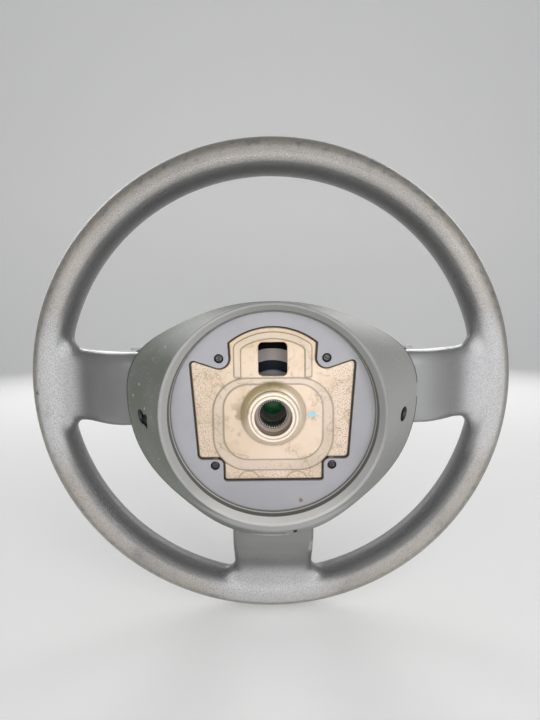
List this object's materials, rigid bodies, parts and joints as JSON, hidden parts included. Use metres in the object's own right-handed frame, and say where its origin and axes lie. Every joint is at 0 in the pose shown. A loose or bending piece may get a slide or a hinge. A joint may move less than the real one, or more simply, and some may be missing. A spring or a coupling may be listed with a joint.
{
  "type": "steering wheel",
  "caption": "Spoked car steering wheel with a grained foam rim, moulded rear cover, pressed hub plate, splined boss and a sprung horn pad.",
  "frame": {"origin": "on the steering axis, at the end face of the splined boss, which is the mouth of its bore", "axes": "+Z to the top of the wheel, -Y along the steering axis towards the column, +Y towards the driver, +X to the right as seen from the column side"},
  "size_m": [0.37, 0.113, 0.37],
  "materials": {
    "grip_foam": "soft moulded foam with a fine grain",
    "cover_plastic": "moulded, satin, dusty",
    "pad_plastic": "moulded, fine grain",
    "frame_steel": "black dip coat",
    "plated_steel": "yellow passivated pressing",
    "boss_steel": "turned",
    "dark_steel": "black oxide",
    "spring_steel": "drawn wire",
    "pin_steel": "turned, bright zinc",
    "contact_brass": "plain",
    "nylon": "natural nylon",
    "tray_steel": "bright zinc pressing",
    "generator_steel": "drawn and turned",
    "label_film": "bare film",
    "plug_plastic": "moulded green",
    "bag_cloth": "folded woven cloth",
    "rivet_alloy": "drawn"
  },
  "bodies": {
    "wheel": {"rim_grip": "grip_foam", "rim_core": "frame_steel", "right_spoke_arm": "frame_steel", "left_spoke_arm": "frame_steel", "lower_spoke_arm": "frame_steel", "hub_plate": "plated_steel", "splined_boss": "boss_steel", "rear_cover": "cover_plastic", "cover_screws": "dark_steel", "horn_guide_pins": "pin_steel", "horn_spring_1": "spring_steel", "horn_spring_2": "spring_steel", "horn_spring_3": "spring_steel", "horn_spring_4": "spring_steel", "fixed_contacts": "contact_brass"},
    "horn_pad": {"moving_contacts": "contact_brass", "horn_plate": "tray_steel", "guide_bushes": "nylon", "module_base": "tray_steel", "side_bolts": "dark_steel", "side_nuts": "dark_steel", "inflator": "generator_steel", "inflator_label": "label_film", "squib_connector": "plug_plastic", "cushion_ring": "tray_steel", "module_nuts": "dark_steel", "cushion_pack": "bag_cloth", "pad_cover": "pad_plastic", "pad_rivets": "rivet_alloy"}
  },
  "joints": [
    {"name": "horn_press", "type": "slide", "parent": "wheel", "child": "horn_pad", "axis": [0, -1, 0], "range_m": [0, 0.0024], "stiffness_N_per_m": 6000, "springref_m": -0.003, "deforming": ["horn_spring_1", "horn_spring_2", "horn_spring_3", "horn_spring_4"]}
  ]
}
